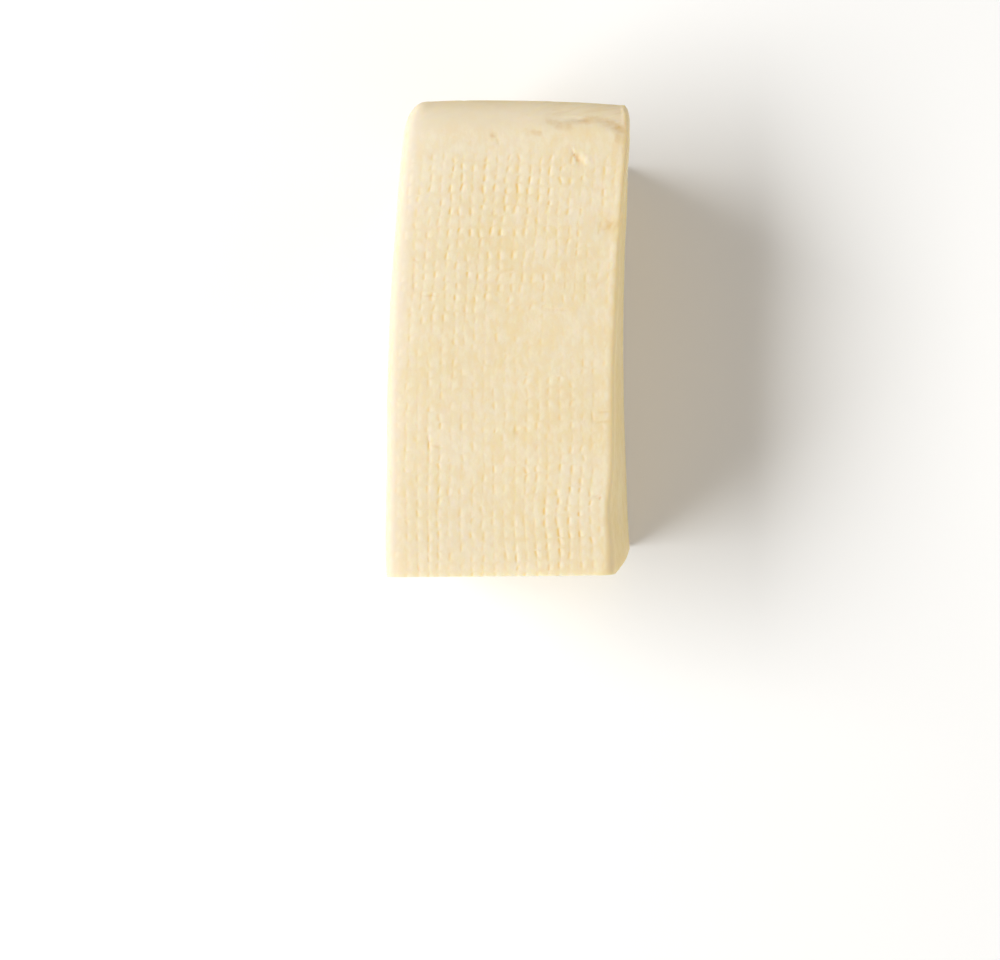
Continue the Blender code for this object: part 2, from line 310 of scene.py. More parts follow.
# Painted glow on the right edge's rounding, which lifts the shade there: centre and reach in
# nearness to the right wall and share of the height, and where and how much it fades towards the
# far end
GLOW_CENTRE = (0.70, 1)
GLOW_REACH = (0.34, 0.07)
GLOW_FADE_Y = (-5 * MM, 40 * MM)
GLOW_FADE = 0.75
# Painted highlight: the left edge and wall, which face the key light, take a greyer, paler tone
# than the skin, less of it at the foot
LEFT_HIGHLIGHT_NEARNESS = (0, 0.6)
LEFT_HIGHLIGHT_HEIGHT = (0.6, 1)
LEFT_HIGHLIGHT_AT_FOOT = 0.45
CREASED_X = (-8 * MM, 14 * MM)
# Share and reach of the paleness that fades inwards from the left edge, a painted highlight on the
# side facing the key light, and from the knife cut
LEFT_HIGHLIGHT_PALENESS = (0.45, 22 * MM)
PALE_NEAR_CUT = (0.25, 9 * MM)
# Depths at which a mark takes its painted shade in full and the flake its painted highlight in
# full, and at which the pit turns to painted amber shade: from, over
FULLY_SHADED_DEPTH = 1.1 * MM
FLAKE_HIGHLIGHT = 0.4 * MM
PIT_SHADE = (0.30 * MM, 0.25 * MM)

# Eyes and cracks that the knife laid bare
EYE_SEED = 5
EYE_MARGIN = 6.0 * MM
EYE_SPACING = 7.0 * MM
CRACK_HALF_SIZE = (3.0 * MM, 0.6 * MM, 0.22 * MM)
CRACK_PLACES = ((-0.012, 0.052, 0.25), (0.017, 0.031, -0.30))
PINHOLES = 18
PINHOLE_SPACING = 3.0 * MM
# Limits of the radius and of the stretch, and depth and height as shares of the radius
EYE_SHAPE = ((0.35 * MM, 0.9 * MM), (1.0, 1.9), 0.8, 1.0)
PINHOLE_SHAPE = ((0.22 * MM, 0.42 * MM), (1.0, 2.6), 1.2, 0.8)
EYE_RINGS = 9
EYE_SEGMENTS = 16
# Waves round a hollow's axis: how many, and their height
EYE_WAVES = ((2, 0.20), (3, 0.14))
SHARP_ANGLE = math.radians(52)

# How much each finer level of the clouds counts, and the part of them that the gloss follows
NOISE_ROUGHNESS = 0.58
GLOSS_SPAN = (0.3, 0.7)
# What every surface of the cheese shares: milk fat's index, and red light going furthest
CHEESE = {"IOR": 1.45, "Subsurface Radius": (1.0, 0.82, 0.42), "Subsurface Weight": 1.0}

# Soft lights: azimuth from +X and elevation in degrees, width and height, share of the power
SOFT_LIGHTS = (
    ("window", 184, 42.5, (3.0, 1.28), 1.0),
    ("reflector", 305, 30, (2.7, 1.6), 0.11),
    ("card", 0, 18, (3.6, 0.9), 0.22),
)
LIGHT_DISTANCE = 3.0
LIGHT_COLOUR = (0.975, 0.99, 1.0)
FILL_COLOUR = (1.0, 0.955, 0.90)
FLOOR_HALF = 6.0
SENSOR_WIDTH = 36.0
NEAREST_SEEN = 0.01
CAMERA_PLACE = (-5.95 * MM, -45.35 * MM)


def linear(hex_colour):
    """Linear RGB of an sRGB hex colour."""
    parts = [int(hex_colour[i : i + 2], 16) / 255 for i in (1, 3, 5)]
    return [c / 12.92 if c <= 0.04045 else ((c + 0.055) / 1.055) ** 2.4 for c in parts]


def length_property(name, default, description):
    """A length in metres that a user can change."""
    return bpy.props.FloatProperty(
        name=name, description=description, default=default, unit="LENGTH", subtype="DISTANCE"
    )


def count_property(name, default, description):
    """A whole number that a user can change."""
    return bpy.props.IntProperty(name=name, description=description, default=default)


def colour_property(name, hex_colour, description):
    """A colour that a user can change, from its sRGB hex value."""
    return bpy.props.FloatVectorProperty(
        name=name, description=description, default=linear(hex_colour),
        subtype="COLOR", size=3, min=0, max=1,
    )


class BlockSizes(bpy.types.PropertyGroup):
    length: length_property("Length", 0.1516, "From the knife cut to the pressed end")
    height: length_property("Height", 0.081, "From the base to the cloth-marked top")
    foot_width: length_property("Foot width", 0.0842, "Width of the block at its foot")
    top_width: length_property("Top width", 0.0716, "Width of the cloth-marked top")
    threads_across: count_property("Threads across", 21, "Threads of the cloth over the width")
    threads_along: count_property("Threads along", 45, "Threads of the cloth over the length")
    imprint_depth: length_property(
        "Imprint depth", 0.125 * MM, "How deep the cloth pressed where it pressed most"
    )
    lip_height: length_property(
        "Lip height", 0.12 * MM, "Height of the raised lip along the right edge"
    )
    ledge_drop: length_property("Ledge drop", 0.6 * MM, "Step down to the rolled end")
    eyes: count_property("Eyes", 15, "Eyes in the face of the knife cut")


class CheeseColours(bpy.types.PropertyGroup):
    skin: colour_property("Skin", "#E8DCC2", "Pale skin of the pressed cheese")
    skin_deep: colour_property("Deeper skin", "#E7D8B6", "Skin where the fat shows yellower")
    # Used for random flecks and mottle, and for the painted amber shade in the slits and marks
    dent: colour_property("Pressed marks", "#E9CA80", "Bottom of the marks that the cloth pressed")
    # Partly the walls' own yellow, partly painted warm light on the shaded walls
    side: colour_property("Walls", "#E3C78A", "Walls that lay against the mould, yellower")
    # Painted glow on the right edge's rounding
    rim: colour_property("Right edge", "#F2DFB2", "Edge that light comes out of, brighter")
    # Partly drier skin, partly painted shade of the rolled end that turns from the light
    rolled: colour_property("Rolled end", "#E3D6BC", "Drier skin of the rolled end")
    # Painted amber shade at the bottom of the pit
    pit: colour_property("Pits", "#DDAE55", "Bottom of the deepest marks, amber from below")
    # Tan of folded skin, also the painted shade at the ledge and in the dent, and tan mottle on
    # the walls and wrinkles
    folded: colour_property("Folds", "#D4B682", "Skin folded over and dried, tan")
    # Painted highlight: greyer, paler tone of the left side, which faces the key light
    dried: colour_property("Dried edge", "#D3C8BD", "Left edge that dried paler than the rest")
    # Pale tone of random mottle and of the ridges, partly dry crests and partly painted highlight
    # on their lit side, with the painted highlight of the flake and the left edge
    pale_and_highlight: colour_property("Ridges", "#F0E6CE", "Dry crowns that the cloth raised")
    paste: colour_property("Paste", "#EEDAAB", "Freshly cut paste")
    paste_deep: colour_property("Deeper paste", "#E8D099", "Cut paste where the curd is denser")
    eye: colour_property("Eye wall", "#F0D9A4", "Moist wall of an eye")


class StudioSettings(bpy.types.PropertyGroup):
    camera_height: length_property("Camera height", 0.486, "Height of the lens above the floor")
    lens: bpy.props.FloatProperty(
        name="Lens", description="Focal length on a 36 mm wide picture", default=46.656,
        unit="CAMERA",
    )
    floor: colour_property("Floor", "#F9F8F6", "Plain pale floor")
    key_power: bpy.props.FloatProperty(
        name="Key light", description="Power of the large soft light on the left",
        default=110.0, unit="POWER",
    )
    fill: bpy.props.FloatProperty(
        name="Fill", description="Strength of the even light from all round", default=0.29
    )


# ---------------------------------------------------------------- shape functions


def smooth_rise(value, start, end):
    """0 before start and 1 after end, with no kink between."""
    t = np.clip((value - start) / (end - start), 0, 1)
    return t * t * (3 - 2 * t)


def bell(value, half_width):
    """A bell of height 1: the exponential of minus the square of value over half width."""
    return np.exp(-((value / half_width) ** 2))


def mound(x, y, centre, reach):
    """A round-topped mound of height 1: the exponential of minus the squared distances."""
    return np.exp(-(((x - centre[0]) / reach[0]) ** 2) - ((y - centre[1]) / reach[1]) ** 2)


def mark(x, y, centre, half_sizes, turn):
    """A mark of depth 1: a flat-topped bell along its length times a bell across it."""
    cosine, sine = math.cos(math.radians(turn)), math.sin(math.radians(turn))
    along = ((x - centre[0]) * cosine + (y - centre[1]) * sine) / half_sizes[0]
    across = (-(x - centre[0]) * sine + (y - centre[1]) * cosine) / half_sizes[1]
    return np.exp(-(along**4) - across**2)


def groove_and_ridge(x, y, centre, half_sizes, turn, ridge_share, stretch=(1, 1)):
    """A mark less a share of the ridge beside it, a mark two half widths on and so much larger."""
    beside = (centre[0], centre[1] + 2 * half_sizes[1])
    wider = (stretch[0] * half_sizes[0], stretch[1] * half_sizes[1])
    groove = mark(x, y, centre, half_sizes, turn)
    return groove - ridge_share * mark(x, y, beside, wider, turn)


def waves(table, u, v):
    """Sum of sine waves, each from its height, its lengths along u and v, and its start."""
    return sum(
        height * np.sin(2 * math.pi * (u / across + v / along + start))
        for height, across, along, start in table
    )


def faded(distance, share, reach):
    """A share that falls evenly with the distance, to 0 at its reach."""
    return share * np.clip(1 - distance / reach, 0, 1)


def between_sites(table, u, v):
    """Smooth blend of the values that a table holds at whole u and whole v."""
    column = np.clip(np.floor(u).astype(int), 0, table.shape[0] - 2)
    row = np.clip(np.floor(v).astype(int), 0, table.shape[1] - 2)
    s = smooth_rise(u - column, 0, 1)
    t = smooth_rise(v - row, 0, 1)
    near = table[column, row] * (1 - s) + table[column + 1, row] * s
    far = table[column, row + 1] * (1 - s) + table[column + 1, row + 1] * s
    return near * (1 - t) + far * t


def sweep(y, sizes):
    """Sideways sweep of the pressed end: 0 up to its start and 1 at the far end."""
    run = np.clip((y - SWEEP_START) / (sizes.length / 2 - SWEEP_START), 0, None)
    return run**SWEEP_POWER


def left_wall(y, z, sizes):
    """The wall leans in a little towards the foot, and sweeps with the pressed end."""
    tuck = LEFT_TUCK * (1 - z / sizes.height)
    return -sizes.foot_width / 2 + tuck + LEFT_SWEEP * sweep(y, sizes)


def right_wall(y, z, sizes):
    """The wall runs from the foot line up to the line of the top edge.

    Halfway up it bulges, most at the knife cut and not at all at the far end.
    """
    waist = FOOT_WAIST * np.cos(math.pi * (y - FOOT_WAIST_Y) / sizes.length)
    foot = sizes.foot_width / 2 - waist
    dent = TOP_EDGE_DENT * bell(y - TOP_EDGE_DENT_Y, TOP_EDGE_DENT_REACH)
    top = sizes.top_width - sizes.foot_width / 2 + RIGHT_SWEEP * sweep(y, sizes) - dent
    share = z / sizes.height
    bulge = RIGHT_BULGE * np.clip(0.5 - y / sizes.length, 0, 1) * 4 * share * (1 - share)
    return foot + (top - foot) * share + bulge


def cut_wall(x, z, sizes):
    """The plane of the knife cut, which leans and turns by about a degree."""
    lean = CUT_LEAN * (1 - z / sizes.height)
    return -sizes.length / 2 + lean + CUT_TURN * (x / sizes.foot_width + 0.5)


def end_wall(x, z, sizes):
    """The wall bows out across the block and leans in towards the foot."""
    bow = END_BOW * (2 * (x - END_BOW_CENTRE_X) / sizes.foot_width) ** 2
    return sizes.length / 2 - bow - END_TUCK * (1 - z / sizes.height)


def right_reach(along):
    """Reach of the right edge's rounding, small along the block and larger at both ends."""
    cut_end, middle, far_end = RIGHT_REACH
    reach = middle + (cut_end - middle) * np.exp(-along / RIGHT_REACH_FADE)
    return reach + (far_end - middle) * np.exp((along - 1) / RIGHT_REACH_FADE)


def round_edges(across, along, up, sizes):
    """How far each wall's points move in to round the edges, and the nearness to each wall.

    Nearness is 1 on a wall and 0 at the reach of its rounding. Where a point is near several
    walls, its nearnesses are scaled down until their powers add up to the largest one's,
    which lays the points on a superellipse. The knife cut has no such rounding.
    """
    reach = {
        "left": LEFT_REACH[0] + (LEFT_REACH[1] - LEFT_REACH[0]) * along * up,
        "right": right_reach(along),
        "end": END_REACH[0] + (END_REACH[1] - END_REACH[0]) * up,
    }
    depth = {
        "left": across * sizes.top_width,
        "right": (1 - across) * sizes.top_width,
        "end": (1 - along) * sizes.length,
    }
    near = {wall: np.clip(1 - depth[wall] / reach[wall], 0, None) for wall in reach}
    share = sum(near.values()) + TINY
    reach["top"] = sum(near[wall] * reach[wall] for wall in near) / share + TINY
    near["top"] = np.clip(1 - (1 - up) * sizes.height / reach["top"], 0, None)
    reach["foot"] = FOOT_REACH
    near["foot"] = np.clip(1 - up * sizes.height / FOOT_REACH, 0, None)
    total = sum(value**EDGE_POWER for value in near.values())
    largest = np.maximum.reduce(list(near.values()))
    scale = largest / np.maximum(total ** (1 / EDGE_POWER), TINY)
    shift = {wall: reach[wall] * near[wall] * (1 - scale) for wall in near}
    return shift, {wall: near[wall] * scale for wall in near}, reach


def outward(near, reach):
    """Unit normal of the rounded form, and how much of the relief a point takes."""
    slope = {wall: near[wall] ** (EDGE_POWER - 1) / reach[wall] for wall in near}
    normal = np.stack(
        [slope["right"] - slope["left"], slope["end"], slope["top"] - slope["foot"]], axis=1
    )
    normal /= np.linalg.norm(normal, axis=1, keepdims=True) + TINY
    return normal, np.maximum.reduce(list(near.values())) ** SKIN_POWER


def swell(points):
    """Sum of a few sine waves of random direction, length and phase."""
    rng = np.random.default_rng(SWELL_SEED)
    height = np.zeros(len(points))
    for _ in range(SWELL_WAVES):
        direction = rng.normal(size=3)
        direction /= np.linalg.norm(direction)
        turns = points @ direction / rng.uniform(*SWELL_LENGTH)
        height += np.sin(2 * math.pi * (turns + rng.random()))
    return SWELL_HEIGHT * height


def thread_warp(u, v, sizes):
    """How far the threads stray, in threads: slow waves and a small shift at each crossing.

    The stray fades to nothing at the walls that a thread runs along.
    """
    rng = np.random.default_rng(WARP_SEED)
    jitter = rng.uniform(-1, 1, size=(2, sizes.threads_across + 2, sizes.threads_along + 2))
    sideways = SHIFT_SIDEWAYS * between_sites(jitter[0], u, v) + waves(STRAY_SIDEWAYS, u, v)
    lengthways = SHIFT_LENGTHWAYS * between_sites(jitter[1], u, v) + waves(STRAY_LENGTHWAYS, u, v)
    sideways *= smooth_rise(np.minimum(u, sizes.threads_across - u), 0, STRAY_FADE)
    lengthways *= smooth_rise(np.minimum(v, sizes.threads_along - v), 0, STRAY_FADE)
    return sideways, lengthways


def imprint_strength(x, y, across, sizes):
    """How hard the cloth pressed, 0 to 1, and how far its slits run together."""
    mx, my = x / MM, y / MM
    strength = FAINTEST + np.maximum.reduce(
        [(peak - FAINTEST) * mound(mx, my, centre, reach) for centre, reach, peak in DEEP_AREAS]
    )
    for centre, reach in BARE_PATCHES:
        strength *= 1 - BARENESS * mound(mx, my, centre, reach)
    edge = smooth_rise(IMPRINT_FAR_EDGE - y, 0, IMPRINT_FAR_FADE)
    edge *= smooth_rise(np.minimum(across, 1 - across) * sizes.top_width, 0, IMPRINT_MARGIN)
    furrow = np.maximum.reduce(
        [peak * mound(mx, my, centre, reach) for centre, reach, peak in FURROW_AREAS]
    )
    return strength * edge, furrow * edge


def imprint(u, v, strength, furrow, sizes):
    """Plain weave pressed into the top: what it presses in and raises, the painted amber shade in
    its slits, and the paleness of its ridges, partly dry crests and partly a painted highlight on
    their lit side.

    Each crossing of the threads leaves a short upright slit with a ridge on its +X side: a
    bell across it and a flat-topped bell along it. The crossings differ in strength, length,
    lean and place, and every second row is stronger. Under the slits of a column runs a faint
    groove, and between the rows lie the faint dashes of the threads across. In a furrow the
    groove and a thin rib beside it take over.
    """
    rng = np.random.default_rng(IMPRINT_SEED)
    shape = (sizes.threads_across + 2, sizes.threads_along + 2)
    second = 1 + SECOND_ROW_SHARE * (-1.0) ** np.arange(shape[1])
    vigour = np.minimum(rng.gamma(*SLIT_GAMMA, size=shape), STRONGEST_SLIT) * second
    half_length = rng.uniform(*SLIT_HALF_LENGTH, size=shape)
    stray = rng.uniform(-SLIT_STRAY, SLIT_STRAY, size=shape)
    drift = rng.uniform(-SLIT_DRIFT, SLIT_DRIFT, size=shape)
    lean = rng.normal(0, SLIT_LEAN, size=shape)
    dash_vigour = rng.gamma(*DASH_GAMMA, size=shape)
    run_vigour = rng.gamma(*RUN_GAMMA, size=shape)

    column = np.clip(np.rint(u), 0, sizes.threads_across).astype(int)
    row = np.clip(np.rint(v), 0, sizes.threads_along).astype(int)
    site = (column, row)
    column_edge = smooth_rise(0.5 - np.abs(u - column), 0, COLUMN_EDGE)
    row_edge = smooth_rise(0.5 - np.abs(v - row), 0, ROW_EDGE)
    ahead = v - row - drift[site]
    aside = u - column - stray[site] - lean[site] * ahead
    upright = vigour[site] * row_edge * np.exp(-np.abs(ahead / half_length[site]) ** 3)
    slit = upright * bell(aside, SLIT_HALF_WIDTH)
    slit_shade = upright * bell(aside - SLIT_SHADE_PLACE, SLIT_SHADE_HALF_WIDTH)
    ridge = upright * bell(aside - RIDGE_PLACE, RIDGE_HALF_WIDTH) * column_edge
    ridge_pale_and_highlight = upright * bell(aside - RIDGE_PLACE, PALE_AND_HIGHLIGHT_HALF_WIDTH) * column_edge

    beads = BETWEEN_BEADS + (1 - BETWEEN_BEADS) * smooth_rise(np.abs(v - row), *BEAD)
    run = between_sites(run_vigour, column, v) * beads
    groove = run * bell(u - column, SLIT_HALF_WIDTH)
    rib = run * column_edge * bell(u - column - RIDGE_PLACE, RIDGE_HALF_WIDTH)

    below = np.clip(np.floor(v), 0, sizes.threads_along).astype(int)
    across = DASH_SHARE * dash_vigour[(column, below)] * column_edge
    dash = across * bell(v - below - DASH_PLACE, DASH_HALF_WIDTH)
    dash_ridge = DASH_RIDGE_SHARE * across * bell(v - below - DASH_RIDGE_PLACE, DASH_HALF_WIDTH)

    sunk = GROOVE_SHARE * groove + dash
    high = GROOVE_SHARE * rib + dash_ridge
    down = strength * (slit + sunk) + FURROW_DEPTH * furrow * groove
    raised = strength * (ridge + high) + FURROW_DEPTH * furrow * rib
    painted_mark_shade = strength * (slit_shade + sunk) + FURROW_SHADE * furrow * groove
    pale = strength * (ridge_pale_and_highlight + high) + FURROW_PALE_AND_HIGHLIGHT * furrow * rib
    return down, RIDGE_SHARE * raised, PAINTED_SHADE_SHARE * painted_mark_shade, PALE_AND_HIGHLIGHT_SHARE * pale


def lip_height(y, across, sizes):
    """A bell-shaped ridge that keeps near the right edge and varies along it."""
    my = y / MM
    from_edge = (1 - across) * sizes.top_width - MM * np.interp(my, LIP_Y, LIP_FROM_EDGE)
    height = sizes.lip_height * np.interp(my, LIP_Y, LIP_HEIGHT_SHARE)
    return height * bell(from_edge, LIP_HALF_WIDTH)


def ledge_line(x):
    """Where the ledge runs: a sum of three sine waves, falling back at the right."""
    mx = x / MM
    line = LEDGE_Y / MM + sum(
        height * np.sin(2 * math.pi * mx / length + phase) for length, height, phase in LEDGE_WAVES
    )
    return MM * (line - LEDGE_FALL * smooth_rise(mx, *LEDGE_FALL_X))


def ledge_drop(x, y, sizes):
    """A soft step down towards +Y along an uneven line, with a shallow gutter at its foot."""
    line = ledge_line(x)
    place, half_width, depth = GUTTER
    step = smooth_rise(y, line - LEDGE_HALF_SLOPE, line + LEDGE_HALF_SLOPE)
    drop = sizes.ledge_drop * step + depth * bell(y - line - place, half_width)
    return smooth_rise(x, *LEDGE_START) * drop


def fold_tan_and_shade_share(x, y):
    """How tan the folded skin is, with the painted shade of the ledge and the dent, 0 to 1: the
    greatest of a few flat-topped bells.
    """
    spots = [
        strength * mark(x / MM, y / MM, centre, half_sizes, turn)
        for centre, half_sizes, turn, strength in FOLD_TAN_AND_SHADE_SPOTS
    ]
    return np.maximum.reduce(spots)


def pit(x, y):
    """A slit with a steep side towards -X, a long slope towards +X and a flake raised on it."""
    mx, my = x / MM - PIT_CENTRE[0], y / MM - PIT_CENTRE[1]
    mx = mx + PIT_LEAN * my
    fall = smooth_rise(mx, *PIT_STEEP_SIDE) * (1 - smooth_rise(mx, *PIT_SLOPE))
    depth = PIT_DEPTH * fall * np.exp(-((my / PIT_HALF_LENGTH) ** 4))
    for centre, reach, deepest in PIT_BITS:
        depth += deepest * mound(mx, my, centre, reach)
    return MM * depth


def wrinkles(x, y):
    """Fine slanted wrinkles of the rolled end, each a narrow mark beside a narrow ridge."""
    rng = np.random.default_rng(WRINKLE_SEED)
    relief = np.zeros_like(x)
    for _ in range(WRINKLES):
        at_x, at_y, half_length, half_width, turn, depth = (
            rng.uniform(*limits) for limits in WRINKLE_LIMITS
        )
        centre, half_sizes = (at_x, at_y), (half_length, half_width)
        depth *= WRINKLE_SHARES[at_x > WRINKLE_CHANGE_X]
        relief -= depth * groove_and_ridge(
            x / MM, y / MM, centre, half_sizes, turn, WRINKLE_RIDGE_SHARE
        )
    return MM * relief


def top_marks(x, y):
    """Depth of the single marks in the top and of the pit, whose flake stands up."""
    depth = pit(x, y)
    for centre, half_sizes, turn, deepest in TOP_MARKS:
        depth += MM * deepest * mark(x / MM, y / MM, centre, half_sizes, turn)
    return depth


def wall_relief(round_the_block, z, sizes):
    """Shallow creases and dimples of the walls, each at a seeded place on the unrolled walls.

    A crease is a narrow mark beside a soft ridge. A dimple is a small round mark.
    """
    rng = np.random.default_rng(CREASE_SEED)
    around = 2 * (sizes.foot_width + sizes.length) / MM
    s, h = round_the_block / MM, z / MM
    relief = np.zeros_like(s)
    for _ in range(CREASES):
        centre = (rng.uniform(0, around), rng.uniform(*CREASE_Z))
        half_sizes = [rng.uniform(*limits) for limits in CREASE_HALF_SIZES]
        turn = rng.normal(0, CREASE_TURN_SPREAD)
        turn += rng.choice([0, 90], p=[1 - UPRIGHT_SHARE, UPRIGHT_SHARE])
        relief -= rng.uniform(*CREASE_DEPTH) * groove_and_ridge(
            s, h, centre, half_sizes, turn, CREASE_RIDGE_SHARE, CREASE_RIDGE_STRETCH
        )
    for _ in range(DIMPLES):
        centre = (rng.uniform(0, around), rng.uniform(*DIMPLE_Z))
        half_width = rng.uniform(*DIMPLE_HALF_WIDTH)
        relief -= rng.uniform(*DIMPLE_DEPTH) * mark(s, h, centre, (half_width, half_width), 0)
    return MM * relief


def knife_waves(x, z, sizes):
    """Slow unevenness of the knife cut, 0 at its rim and never out of the plane.

    It is two sine waves raised to start at 0: the drag of the knife, whose lines wander, and
    a slow swell.
    """
    wander, wander_length = DRAG_WANDER
    drag = 0.5 + 0.5 * np.sin(2 * math.pi * (z / DRAG_LENGTH + wander * np.sin(x / wander_length)))
    slow = 0.5 + waves(CUT_SWELL, x, z)
    left = left_wall(-sizes.length / 2, z, sizes)
    right = right_wall(-sizes.length / 2, z, sizes)
    rim = np.minimum.reduce([x - left, right - x, z, sizes.height - z])
    return (DRAG_HEIGHT * drag + CUT_SWELL_HEIGHT * slow) * smooth_rise(rim, *CUT_RIM)


def soften_knife_edge(points, normal, sizes):
    """Rounds the rim of the knife cut over a fraction of a millimetre.

    A skin point within the radius of the plane moves in along the normal by the radius times
    one minus the cosine of its angle, and away from the plane by one minus the sine.
    """
    plane = cut_wall(points[:, 0], points[:, 2], sizes)
    distance = np.clip((points[:, 1] - plane) / KNIFE_EDGE, 0, 1)
    on_skin = np.linalg.norm(normal, axis=1) > 0.5
    near = on_skin & (distance < 1)
    angle = math.pi / 4 * (1 - distance[near])
    points[near] -= normal[near] * (KNIFE_EDGE * (1 - np.cos(angle)))[:, None]
    points[near, 1] = plane[near] + KNIFE_EDGE * (1 - np.sin(angle))
    return points


def way_round(u, v, sizes):
    """Distance round the walls from the -X end of the knife cut, anticlockwise from above."""
    x = u / sizes.threads_across * sizes.foot_width
    y = v / sizes.threads_along * sizes.length
    on_right, on_left = u == sizes.threads_across, u == 0
    on_far = (v == sizes.threads_along) & ~on_right
    out = np.where(v == 0, x, 0.0)
    out = np.where(on_right, sizes.foot_width + y, out)
    out = np.where(on_far, 2 * sizes.foot_width + sizes.length - x, out)
    on_left_only = on_left & (v > 0) & ~on_far
    return np.where(on_left_only, 2 * (sizes.foot_width + sizes.length) - y, out)


def block_surface(u, v, up, sizes):
    """Points of the block from thread numbers across and along it and shares of its height.

    The threads' stray is added to u and v, which gives shares of the width and length. The
    rounded form follows from those, and the relief is added along its normal. Returns the
    points and what the skin's colour follows, as shares of 0 to 1.
    """
    sideways, lengthways = thread_warp(u, v, sizes)
    across = (u + sideways) / sizes.threads_across
    along = (v + lengthways) / sizes.threads_along
    shift, near, reach = round_edges(across, along, up, sizes)
    z = up * sizes.height - shift["top"] + shift["foot"]
    middle = (across - 0.5) * sizes.foot_width
    y = cut_wall(middle, z, sizes) * (1 - along) + end_wall(middle, z, sizes) * along
    y -= shift["end"]
    x = left_wall(y, z, sizes) * (1 - across) + right_wall(y, z, sizes) * across
    x += shift["left"] - shift["right"]
    points = np.stack([x, y, z], axis=1)
    normal, skin = outward(near, reach)
    facing_up = np.clip(normal[:, 2], 0, None) * skin
    facing_out = np.hypot(normal[:, 0], normal[:, 1]) * skin
    above_foot = smooth_rise(z, 0, SWELL_FOOT_FADE)

    strength, furrow = imprint_strength(x, y, across, sizes)
    pressed, raised, painted_mark_shade, pale = (
        (up == 1) * part for part in imprint(u, v, strength, furrow, sizes)
    )
    marks = top_marks(x, y)
    forms = lip_height(y, across, sizes) - ledge_drop(x, y, sizes) + wrinkles(x, y)
    relief = facing_up * (sizes.imprint_depth * (raised - pressed) + forms - marks)
    on_skin = smooth_rise(np.maximum.reduce(list(near.values())), 0, SWELL_FULL)
    relief += on_skin * above_foot * swell(points)
    walls = wall_relief(way_round(u, v, sizes), z, sizes)
    walls *= above_foot * smooth_rise(sizes.height - z, 0, WALL_TOP_FADE)
    relief += facing_out * walls * (v > 0)
    points += normal * relief[:, None]

    cut = v == 0
    plane = cut_wall(points[cut, 0], points[cut, 2], sizes)
    points[cut, 1] = plane + knife_waves(points[cut, 0], points[cut, 2], sizes)
    points = soften_knife_edge(points, normal, sizes)

    # Yellower walls, partly their own colour and partly painted warm light, reaching onto the
    # right edge's rounding as painted light that fills its shade
    side = np.maximum(
        facing_out * smooth_rise(sizes.height - z, *SIDE_BELOW_TOP),
        skin * smooth_rise(near["right"], *SIDE_GLOW_NEARNESS),
    )
    # Painted glow along the right edge's rounding, lifting its shade, weaker towards the far end
    rim = skin * mound(near["right"], up, GLOW_CENTRE, GLOW_REACH)
    rim *= 1 - GLOW_FADE * smooth_rise(y, *GLOW_FADE_Y)
    # Painted highlight: a greyer, paler tone on the left edge and wall, which face the key light
    dried = skin * smooth_rise(near["left"], *LEFT_HIGHLIGHT_NEARNESS)
    dried *= LEFT_HIGHLIGHT_AT_FOOT + (1 - LEFT_HIGHLIGHT_AT_FOOT) * smooth_rise(up, *LEFT_HIGHLIGHT_HEIGHT)
    # Greyer skin beyond the ledge: partly drier skin, partly painted shade of the end that turns
    # from the light
    rolled = smooth_rise(y - ledge_line(x), *ROLLED_SPAN) ** 2
    # Paler inwards from the left edge as a painted highlight, and paler near the knife cut
    pale_edges = faded(across * sizes.top_width, *LEFT_HIGHLIGHT_PALENESS)
    pale_edges += faded(along * sizes.length, *PALE_NEAR_CUT)
    shade_from, shade_span = PIT_SHADE
    layers = {
        # Painted amber shade on the shaded side of the slits and in the marks, fuller in deeper
        # marks
        "depth": facing_up * np.clip(painted_mark_shade + np.maximum(marks, 0) / FULLY_SHADED_DEPTH, 0, 1),
        # Paleness of the ridges, partly dry and partly painted highlight, with the painted
        # highlight of the left edge and the raised flake, and paler near the knife cut
        "pale_and_highlight": facing_up * np.clip(pale + pale_edges + np.maximum(-marks, 0) / FLAKE_HIGHLIGHT, 0, 1),
        # Painted amber shade in the pit
        "deep": facing_up * np.clip((marks - shade_from) / shade_span, 0, 1),
        "cloth": np.clip(strength + furrow, 0, 1),
    }
    off_the_cut = {
        # Tan of folded skin and painted shade along the ledge and in the dent
        "fold_tan_and_shade": facing_up * fold_tan_and_shade_share(x, y),
        "side": side,
        "rim": rim,
        "dried": dried,
        "rolled": rolled,
        "creased": rolled * smooth_rise(x, *CREASED_X),
    }
    return points, layers | {name: share * (v > 0) for name, share in off_the_cut.items()}


# ---------------------------------------------------------------- meshes


def grid_lines(count, steps, first=()):
    """Thread numbers of the grid lines: every thread split at the same shares of its width."""
    lines = np.append((np.arange(count)[:, None] + np.array(steps)).ravel(), count)
    return np.sort(np.append(lines, first))


def quads(ids):
    """Faces of a grid of vertex numbers, facing the way of rows crossed with columns."""
    corners = [ids[:-1, :-1], ids[1:, :-1], ids[1:, 1:], ids[:-1, 1:]]
    return np.stack(corners, axis=-1).reshape(-1, 4)


def rim_of(grid):
    """The border of a grid, anticlockwise from its first corner."""
    return np.concatenate([grid[:-1, 0], grid[-1, :-1], grid[:0:-1, -1], grid[0, :0:-1]])


def nearest_kept(count, kept):
    """For every line of a fine grid, the place in the kept lines of the one nearest to it."""
    return np.abs(np.arange(count)[:, None] - kept[None, :]).argmin(axis=1)


